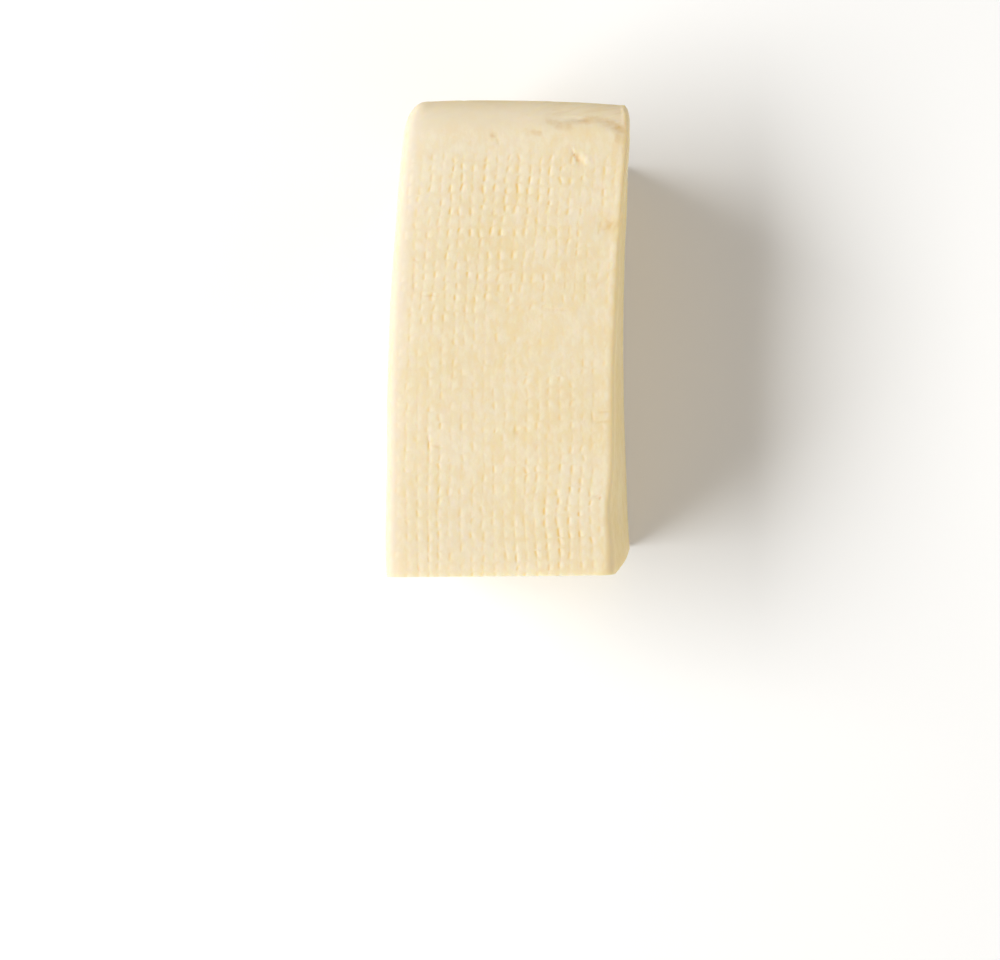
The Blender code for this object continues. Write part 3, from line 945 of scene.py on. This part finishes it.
def block_grid(sizes):
    """Vertex parameters and faces of the closed skin: top sheet, wall band and base sheet.

    The band and the base keep every second grid line, so one strip of triangles joins the
    top sheet's border to the band: each fine edge meets its nearest coarse point, and each
    coarse edge the fine point where the nearest one changes.
    """
    fine_u = grid_lines(sizes.threads_across, COLUMN_STEPS)
    fine_v = grid_lines(sizes.threads_along, ROW_STEPS, RIM_STEPS)
    kept_u = np.arange(0, len(fine_u), 2)
    first = len(RIM_STEPS) + 1
    kept_v = np.unique(np.r_[0:first, first : len(fine_v) : 2, len(fine_v) - 1])
    share = np.linspace(0, 1, LEVELS + 1)
    level = share + LEVEL_CROWDING * ((1 - np.cos(math.pi * share)) / 2 - share)

    top_u, top_v = np.meshgrid(fine_u, fine_v, indexing="ij")
    base_u, base_v = np.meshgrid(fine_u[kept_u], fine_v[kept_v], indexing="ij")
    ring_u, ring_v = rim_of(base_u), rim_of(base_v)
    inner = level[1:-1]
    u = np.concatenate([top_u.ravel(), base_u.ravel(), np.tile(ring_u, len(inner))])
    v = np.concatenate([top_v.ravel(), base_v.ravel(), np.tile(ring_v, len(inner))])
    up = np.repeat([1, 0, *inner], [top_u.size, base_u.size] + [len(ring_u)] * len(inner))

    top = np.arange(top_u.size).reshape(top_u.shape)
    base = top.size + np.arange(base_u.size).reshape(base_u.shape)
    band = top.size + base.size + np.arange(len(inner) * len(ring_u)).reshape(len(inner), -1)
    rows = np.vstack([rim_of(base)[None, :], band])
    rows = np.hstack([rows, rows[:, :1]])

    order = np.zeros(base.size, int)
    order[rim_of(base) - top.size] = np.arange(len(ring_u))
    at_u = nearest_kept(len(fine_u), kept_u)
    at_v = nearest_kept(len(fine_v), kept_v)
    place = rim_of(order.reshape(base.shape)[np.ix_(at_u, at_v)])
    fine, below = rim_of(top), band[-1]
    fine_next, place_next = np.roll(fine, -1), np.roll(place, -1)
    fans = np.stack([below[place], fine_next, fine], axis=1)
    fills = np.stack([below[place], below[place_next], fine_next], axis=1)[place != place_next]
    squares = np.concatenate([quads(top), quads(base)[:, ::-1], quads(rows.T)])
    return u, v, up, squares, np.concatenate([fans, fills])


def new_mesh(name, points, *faces):
    """A mesh from an array of points and arrays of faces with three or four corners each."""
    mesh = bpy.data.meshes.new(name)
    mesh.from_pydata(points, [], [corners for array in faces for corners in array.tolist()])
    return mesh


def lumps(places, half_sizes, turns, seed):
    """Points, quads and triangles of many uneven ellipsoids, closed at both poles.

    Each is a sphere in rings of equal angle whose radius gets two waves round its axis. It is
    stretched by its half sizes, turned about Y and moved to its place.
    """
    rng = np.random.default_rng(seed)
    count = len(places)
    ring = np.linspace(0, math.pi, EYE_RINGS + 2)[1:-1][None, :, None]
    turn = np.linspace(0, 2 * math.pi, EYE_SEGMENTS, endpoint=False)[None, None, :]
    phase = rng.uniform(0, 2 * math.pi, size=(2, count, 1, 1))
    uneven = sum(
        height * np.sin(times * turn + start) for (times, height), start in zip(EYE_WAVES, phase)
    )
    radius = 1 + uneven * np.sin(ring)
    unit = np.stack(
        [
            radius * np.sin(ring) * np.cos(turn),
            np.broadcast_to(np.cos(ring), radius.shape),
            radius * np.sin(ring) * np.sin(turn),
        ],
        axis=-1,
    ).reshape(count, -1, 3)
    poles = np.broadcast_to(np.array([[0.0, 1.0, 0.0], [0.0, -1.0, 0.0]]), (count, 2, 3))
    unit = np.concatenate([unit, poles], axis=1) * half_sizes[:, None, :]
    cosine, sine = np.cos(turns)[:, None], np.sin(turns)[:, None]
    points = np.stack(
        [
            unit[..., 0] * cosine + unit[..., 2] * sine,
            unit[..., 1],
            unit[..., 2] * cosine - unit[..., 0] * sine,
        ],
        axis=-1,
    )
    points += places[:, None, :]
    each = EYE_RINGS * EYE_SEGMENTS
    ids = np.arange(each).reshape(EYE_RINGS, EYE_SEGMENTS)
    ids = np.hstack([ids, ids[:, :1]])
    squares = quads(ids)[:, ::-1]
    first = np.stack([ids[0, 1:], ids[0, :-1], np.full(EYE_SEGMENTS, each)], axis=1)
    last = np.stack([ids[-1, :-1], ids[-1, 1:], np.full(EYE_SEGMENTS, each + 1)], axis=1)
    triangles = np.concatenate([first, last])
    offsets = (each + 2) * np.arange(count)[:, None, None]
    squares = (squares[None] + offsets).reshape(-1, 4)
    triangles = (triangles[None] + offsets).reshape(-1, 3)
    return points.reshape(-1, 3), squares, triangles


def scattered(count, margin, spacing, seed, taken, sizes):
    """Seeded places on the knife cut, kept apart from each other and from its edges."""
    rng = np.random.default_rng(seed)
    taken = [np.array(place) for place in taken]
    places = []
    while len(places) < count:
        z = rng.uniform(margin, sizes.height - margin)
        left = left_wall(-sizes.length / 2, z, sizes) + margin
        right = right_wall(-sizes.length / 2, z, sizes) - margin
        place = np.array([rng.uniform(left, right), z])
        if min(np.linalg.norm(place - other) for other in taken) > spacing:
            places.append(place)
            taken.append(place)
    return np.array(places)


def hollows(rng, places, radius, stretch, deep, tall):
    """Place, half sizes and turn of a hollow at each place, all in proportion to its radius."""
    rows = []
    for x, z in places:
        half = rng.uniform(*radius)
        wide = half * rng.uniform(*stretch)
        rows.append((x, z, wide, half * deep, half * tall, rng.uniform(0, math.pi)))
    return rows


def eye_lumps(sizes):
    """The eyes, cracks and pinholes of the knife cut, as uneven ellipsoids across its plane."""
    cracks = np.array([(x, z) for x, z, _ in CRACK_PLACES])
    eyes = scattered(sizes.eyes, EYE_MARGIN, EYE_SPACING, EYE_SEED, cracks, sizes)
    taken = np.concatenate([cracks, eyes])
    spacing = PINHOLE_SPACING
    pins = scattered(PINHOLES, spacing, spacing, EYE_SEED + 1, taken, sizes)
    rng = np.random.default_rng(EYE_SEED)
    rows = hollows(rng, eyes, *EYE_SHAPE)
    rows += [(x, z, *CRACK_HALF_SIZE, tilt) for x, z, tilt in CRACK_PLACES]
    rows += hollows(rng, pins, *PINHOLE_SHAPE)
    x, z, wide, deep, tall, turn = np.array(rows).T
    places = np.stack([x, cut_wall(x, z, sizes), z], axis=1)
    return lumps(places, np.stack([wide, deep, tall], axis=1), turn, EYE_SEED)


def linked(name, data):
    """A new object in the scene, at the origin, from a mesh, light or camera."""
    obj = bpy.data.objects.new(name, data)
    bpy.context.scene.collection.objects.link(obj)
    return obj


def cut_away(block, cutter):
    """Takes the cutter's lumps out of the block and puts the result into the block's mesh."""
    modifier = block.modifiers.new("eyes", "BOOLEAN")
    modifier.operation = "DIFFERENCE"
    modifier.solver = "EXACT"
    modifier.object = cutter
    graph = bpy.context.evaluated_depsgraph_get()
    cut = bpy.data.meshes.new_from_object(block.evaluated_get(graph))
    block.modifiers.clear()
    plain, block.data = block.data, cut
    bpy.data.meshes.remove(plain)
    cutter_mesh = cutter.data
    bpy.data.objects.remove(cutter)
    bpy.data.meshes.remove(cutter_mesh)


# ---------------------------------------------------------------- materials


def node(material, kind, inputs=None, **settings):
    """Adds a node, sets its fields, and fills each input with a value or links it."""
    tree = material.node_tree
    made = tree.nodes.new(kind)
    for name, value in settings.items():
        setattr(made, name, value)
    for name, value in (inputs or {}).items():
        if isinstance(value, bpy.types.NodeSocket):
            tree.links.new(value, made.inputs[name])
        else:
            made.inputs[name].default_value = value
    return made


def rgba(colour):
    return (*colour, 1.0)


def layered_material(
    name, surface, base, noises, attributes=(), products=None, layers=(), gloss=None, bumps=()
):
    """A material whose colour, gloss and bumps follow clouds and the mesh's attributes.

    A noise has clouds of the given sizes in mm along X, Y and Z, turned about Z by some
    degrees, and a level of detail. A product is two patterns multiplied. Each layer's colour
    lies over what is below it by a share that follows its pattern: none of it at the first
    value and the layer's greatest share at the second. Each bump is its pattern times a
    height in mm.
    """
    material = bpy.data.materials.new(name)
    material.use_nodes = True
    material.node_tree.nodes.clear()
    place = node(material, "ShaderNodeTexCoord").outputs["Object"]
    patterns = {}
    for key, (lengths, turn, detail) in noises.items():
        turned = node(
            material, "ShaderNodeMapping",
            {"Vector": place, "Rotation": (0, 0, -math.radians(turn))},
        )
        scaled = node(
            material, "ShaderNodeMapping",
            {"Vector": turned.outputs[0], "Scale": [1 / (MM * length) for length in lengths]},
        )
        clouds = node(
            material, "ShaderNodeTexNoise",
            {
                "Vector": scaled.outputs[0], "Scale": 1.0,
                "Detail": detail, "Roughness": NOISE_ROUGHNESS,
            },
        )
        patterns[key] = clouds.outputs["Fac"]
    for key in attributes:
        patterns[key] = node(material, "ShaderNodeAttribute", attribute_name=key).outputs["Fac"]
    for key, (first, second) in (products or {}).items():
        product = node(
            material, "ShaderNodeMath", {0: patterns[first], 1: patterns[second]},
            operation="MULTIPLY",
        )
        patterns[key] = product.outputs[0]

    look = {"Base Color": rgba(base)}
    for key, none, most, share, colour in layers:
        amount = node(
            material, "ShaderNodeMapRange",
            {"Value": patterns[key], "From Min": none, "From Max": most, "To Max": share},
        )
        laid = node(
            material, "ShaderNodeMix",
            {0: amount.outputs["Result"], 6: look["Base Color"], 7: rgba(colour)},
            data_type="RGBA",
        )
        look["Base Color"] = laid.outputs[2]
    if gloss:
        key, sleek, dull = gloss
        start, end = GLOSS_SPAN
        rough = node(
            material, "ShaderNodeMapRange",
            {
                "Value": patterns[key], "From Min": start, "From Max": end,
                "To Min": sleek, "To Max": dull,
            },
        )
        look["Roughness"] = rough.outputs["Result"]
    for key, height in bumps:
        bump = {"Height": patterns[key], "Distance": height * MM, "Strength": 1.0}
        if "Normal" in look:
            bump["Normal"] = look["Normal"]
        look["Normal"] = node(material, "ShaderNodeBump", bump).outputs[0]
    shader = node(material, "ShaderNodeBsdfPrincipled", {**look, **surface})
    node(material, "ShaderNodeOutputMaterial", {"Surface": shader.outputs[0]})
    return material


def pressed_cheddar_skin(colours):
    """Pale young cheddar, pressed in cloth: dense milk protein and fat, dry and satin outside.

    Light enters it and comes out a few millimetres away, so edges glow, shadows in the marks
    turn amber and nothing has a hard highlight.
    """
    # The colour layers below also paint part of this light: amber shade in the marks and the pit,
    # shade at the ledge, a glow and warm light on the right edge and walls, and a highlight on the
    # ridges and the left side
    return layered_material(
        "pressed_cheddar_skin",
        surface={
            **CHEESE,
            "Specular IOR Level": 0.08,
            "Subsurface Weight": 0.9,
            "Subsurface Scale": 3.4 * MM,
        },
        base=colours.skin,
        noises={
            "clouds": ((24, 24, 24), 0, 3.0),
            "flecks": ((3.2, 3.2, 3.2), 0, 3.0),
            "mottle": ((2.0, 3.6, 2.0), 0, 3.0),
            "curd": ((0.9, 0.9, 0.9), 0, 2.0),
            "grain": ((0.35, 0.35, 0.35), 0, 2.0),
            "streaks": ((6.5, 1.1, 2.5), 13, 3.0),
        },
        attributes=(
            "depth", "pale_and_highlight", "deep", "side", "rim",
            "rolled", "creased", "dried", "fold_tan_and_shade", "cloth",
        ),
        products={
            "flecked_fold_tan_and_shade": ("fold_tan_and_shade", "flecks"),
            "wrinkled": ("creased", "streaks"),
            "fibres": ("cloth", "flecks"),
            "marbled": ("side", "flecks"),
            "clouded": ("side", "clouds"),
        },
        layers=(
            ("clouds", 0.36, 0.64, 1.0, colours.skin_deep),
            ("flecks", 0.52, 0.78, 0.22, colours.dent),
            ("mottle", 0.52, 0.32, 0.16, colours.dent),
            ("mottle", 0.48, 0.68, 0.42, colours.pale_and_highlight),
            # Partly painted shade of the rolled end
            ("rolled", 0.0, 1.0, 0.8, colours.rolled),
            ("wrinkled", 0.44, 0.66, 0.24, colours.folded),
            # Partly painted warm light on the shaded walls
            ("side", 0.0, 1.0, 0.92, colours.side),
            ("clouded", 0.44, 0.64, 0.30, colours.skin_deep),
            ("marbled", 0.46, 0.74, 0.32, colours.folded),
            # Painted glow on the right edge
            ("rim", 0.0, 1.0, 0.9, colours.rim),
            # Painted highlight on the left side that faces the key light
            ("dried", 0.0, 1.0, 0.9, colours.dried),
            # Painted amber shade in the slits and marks
            ("depth", 0.0, 1.0, 1.0, colours.dent),
            # Painted amber shade in the pit
            ("deep", 0.0, 1.0, 1.0, colours.pit),
            # Tan of folded skin and painted shade at the ledge and the dent
            ("flecked_fold_tan_and_shade", 0.12, 0.62, 1.0, colours.folded),
            # Paleness of ridges, partly painted highlight, and the painted highlight of the left
            # edge and the flake
            ("pale_and_highlight", 0.0, 1.0, 0.65, colours.pale_and_highlight),
        ),
        gloss=("flecks", 0.50, 0.64),
        bumps=(("grain", 0.005), ("curd", 0.008), ("fibres", 0.03), ("marbled", 0.09)),
    )


def knife_cut_cheddar(colours):
    """The fresh cut: smoother, moister and yellower than the skin, with faint drag lines."""
    return layered_material(
        "knife_cut_cheddar",
        surface={**CHEESE, "Specular IOR Level": 0.35, "Subsurface Scale": 2.6 * MM},
        base=colours.paste,
        noises={
            "clouds": ((16, 16, 16), 0, 4.0),
            "flecks": ((2.4, 2.4, 2.4), 0, 4.0),
            "curd": ((1.1, 1.1, 1.1), 0, 3.0),
            "drag": ((9, 9, 0.65), 0, 4.0),
        },
        layers=(
            ("clouds", 0.34, 0.66, 1.0, colours.paste_deep),
            ("flecks", 0.55, 0.80, 0.35, colours.skin),
        ),
        gloss=("drag", 0.34, 0.48),
        bumps=(("curd", 0.02), ("drag", 0.08)),
    )


def eye_wall_cheddar(colours):
    """Wall of an eye: the same paste, glossy with whey, amber from light caught inside."""
    return layered_material(
        "eye_wall_cheddar",
        surface={**CHEESE, "Roughness": 0.28, "Subsurface Scale": 1.6 * MM},
        base=colours.eye,
        noises={"curd": ((0.6, 0.6, 0.6), 0, 3.0)},
        layers=(("curd", 0.35, 0.65, 0.5, colours.paste_deep),),
        bumps=(("curd", 0.05),),
    )


def matt_white_laminate(colour):
    """Plain studio table top: matt white board with a faint tooth."""
    return layered_material(
        "matt_white_laminate",
        surface={"Roughness": 0.85, "Specular IOR Level": 0.25},
        base=colour,
        noises={"tooth": ((1.5, 1.5, 1.5), 0, 2.0)},
        bumps=(("tooth", 0.01),),
    )


# ---------------------------------------------------------------- operators


class CHEDDAR_OT_block(bpy.types.Operator):
    """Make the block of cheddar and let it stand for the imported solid"""

    bl_idname = "cheddar.make_block"
    bl_label = "Make the block"

    def execute(self, context):
        sizes = context.scene.cheddar_sizes
        colours = context.scene.cheddar_colours
        u, v, up, squares, triangles = block_grid(sizes)
        points, layers = block_surface(u, v, up, sizes)
        points -= [*((points.min(axis=0) + points.max(axis=0)) / 2)[:2], 0]
        points = np.clip(points, *CAD_BOX)
        mesh = new_mesh("cheddar_block", points, squares, triangles)
        holes = new_mesh("eye_holes", *eye_lumps(sizes))
        looks = [
            pressed_cheddar_skin(colours),
            knife_cut_cheddar(colours),
            eye_wall_cheddar(colours),
        ]
        for look in looks:
            mesh.materials.append(look)
            holes.materials.append(look)
        for name, values in layers.items():
            attribute = mesh.attributes.new(name, "FLOAT", "POINT")
            attribute.data.foreach_set("value", values.astype(np.float32))
        on_cut = v == 0
        faces_cut = np.concatenate([on_cut[squares].all(axis=1), on_cut[triangles].all(axis=1)])
        mesh.polygons.foreach_set("material_index", faces_cut.astype(np.int32))
        eye_wall = np.full(len(holes.polygons), len(looks) - 1, np.int32)
        holes.polygons.foreach_set("material_index", eye_wall)
        block = linked("cheddar_block", mesh)
        cut_away(block, linked("eye_holes", holes))

        block.data.shade_smooth()
        block.data.set_sharp_from_angle(angle=SHARP_ANGLE)
        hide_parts("cheese_block")
        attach(block, "root")
        return {"FINISHED"}


class CHEDDAR_OT_studio(bpy.types.Operator):
    """Make the plain floor, the soft light from the left, the fill and the camera above"""

    bl_idname = "cheddar.make_studio"
    bl_label = "Make the studio"

    def execute(self, context):
        settings = context.scene.cheddar_studio
        scene = context.scene
        corners = FLOOR_HALF * np.array([[-1, -1, 0], [1, -1, 0], [1, 1, 0], [-1, 1, 0]])
        floor = linked("floor", new_mesh("floor", corners, np.array([[0, 1, 2, 3]])))
        floor.data.materials.append(matt_white_laminate(settings.floor))

        for name, azimuth, elevation, size, share in SOFT_LIGHTS:
            light = bpy.data.lights.new(name, "AREA")
            light.shape = "RECTANGLE"
            light.size, light.size_y = size
            light.energy = settings.key_power * share
            light.color = LIGHT_COLOUR
            lamp = linked(name, light)
            turn, rise = math.radians(azimuth), math.radians(elevation)
            level, height = LIGHT_DISTANCE * math.cos(rise), LIGHT_DISTANCE * math.sin(rise)
            lamp.location = (level * math.cos(turn), level * math.sin(turn), height)
            lamp.rotation_euler = (math.pi / 2 - rise, 0, turn + math.pi / 2)
            lamp.visible_camera = False

        world = bpy.data.worlds.new("fill")
        world.use_nodes = True
        backdrop = world.node_tree.nodes["Background"]
        backdrop.inputs["Color"].default_value = rgba(FILL_COLOUR)
        backdrop.inputs["Strength"].default_value = settings.fill
        scene.world = world

        lens = bpy.data.cameras.new("camera")
        lens.lens = settings.lens
        lens.sensor_width = SENSOR_WIDTH
        lens.clip_start = NEAREST_SEEN
        camera = linked("camera", lens)
        camera.location = (*CAMERA_PLACE, settings.camera_height)
        scene.camera = camera
        scene.view_settings.view_transform = "Standard"
        scene.view_settings.look = "None"
        return {"FINISHED"}


class CHEDDAR_PT_panel(bpy.types.Panel):
    bl_label = "Cheddar block"
    bl_idname = "CHEDDAR_PT_panel"
    bl_space_type = "VIEW_3D"
    bl_region_type = "UI"
    bl_category = "Cheddar"

    def draw(self, context):
        for operator in (CHEDDAR_OT_block, CHEDDAR_OT_studio):
            self.layout.operator(operator.bl_idname)
        for name in GROUPS:
            group = getattr(context.scene, name)
            box = self.layout.box()
            for key in group.bl_rna.properties.keys():
                if key not in ("rna_type", "name"):
                    box.prop(group, key)


GROUPS = {
    "cheddar_sizes": BlockSizes,
    "cheddar_colours": CheeseColours,
    "cheddar_studio": StudioSettings,
}
CLASSES = (*GROUPS.values(), CHEDDAR_OT_block, CHEDDAR_OT_studio, CHEDDAR_PT_panel)


def register():
    for cls in CLASSES:
        bpy.utils.register_class(cls)
    for name, group in GROUPS.items():
        setattr(bpy.types.Scene, name, bpy.props.PointerProperty(type=group))


def unregister():
    for name in GROUPS:
        delattr(bpy.types.Scene, name)
    for cls in reversed(CLASSES):
        bpy.utils.unregister_class(cls)


def main():
    register()
    bpy.ops.cheddar.make_block()
    bpy.ops.cheddar.make_studio()


if __name__ == "__main__":
    main()
